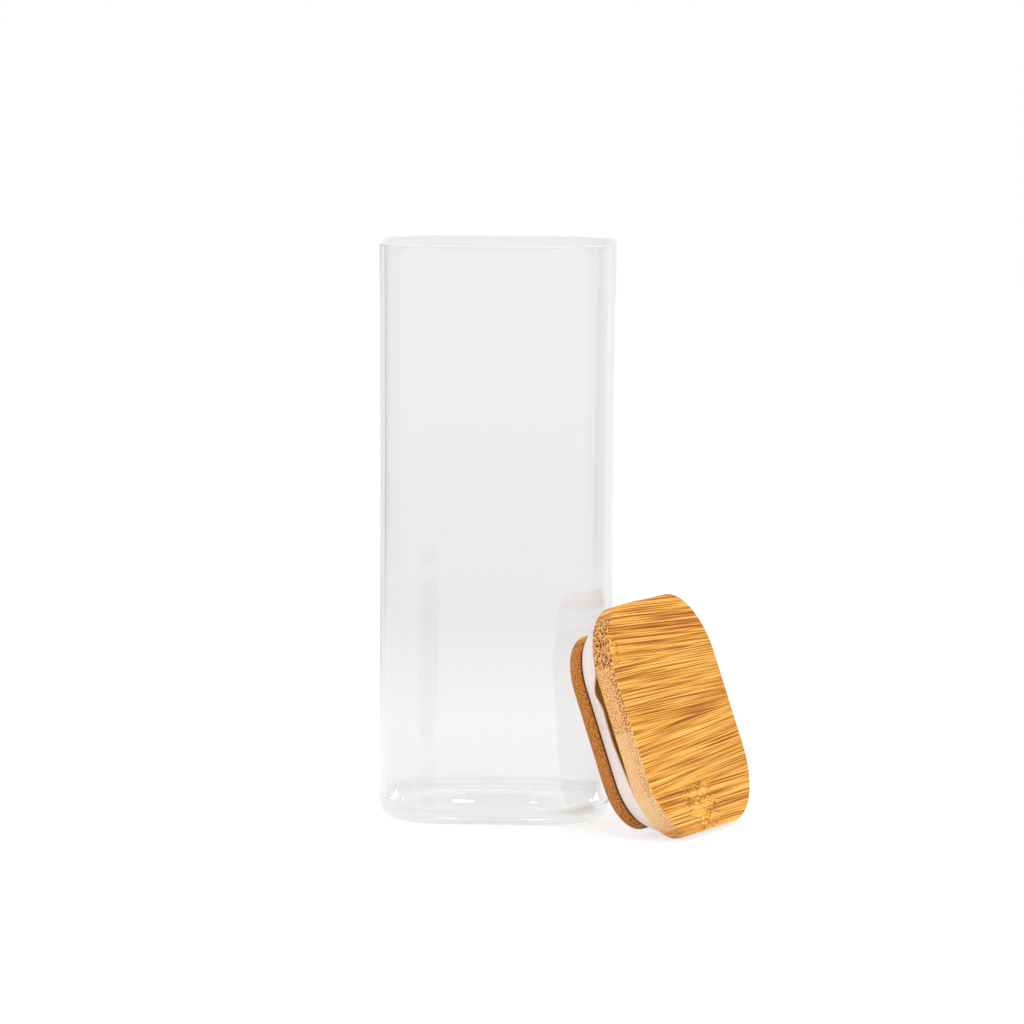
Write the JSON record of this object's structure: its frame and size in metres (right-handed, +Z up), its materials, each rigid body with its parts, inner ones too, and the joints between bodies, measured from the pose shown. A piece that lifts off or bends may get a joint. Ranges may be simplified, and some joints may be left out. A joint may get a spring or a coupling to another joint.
{
  "type": "lidded glass canister",
  "caption": "Tall square glass storage canister with rounded corners, open mouth and a bamboo lid with a silicone seal, its lid off and leaning against one corner.",
  "frame": {"origin": "centre of the canister's foot, on the surface that it stands on", "axes": "+Z up along the canister's axis, +X to the right and +Y to the back, square to the canister's flat walls; the lid leans on the front right corner"},
  "size_m": [0.1592, 0.1492, 0.246],
  "materials": {
    "clear_glass": "clear, fire-polished, glossy",
    "bamboo_board": "sanded laminated bamboo, clear matt oil",
    "bamboo_plug": "sanded carbonised bamboo, matt",
    "silicone": "translucent white silicone, satin"
  },
  "bodies": {
    "canister": {"glass_body": "clear_glass"},
    "lid": {"board_strip_1": "bamboo_board", "board_strip_2": "bamboo_board", "board_strip_3": "bamboo_board", "board_strip_4": "bamboo_board", "plug_block": "bamboo_plug", "gasket": "silicone", "lower_plate": "bamboo_plug"}
  },
  "joints": [
    {"name": "lid_lift", "type": "slide", "parent": "canister", "child": "lid", "axis": [0.0637, -0.0284, 0.9976], "range_m": [0, 0.26]}
  ]
}
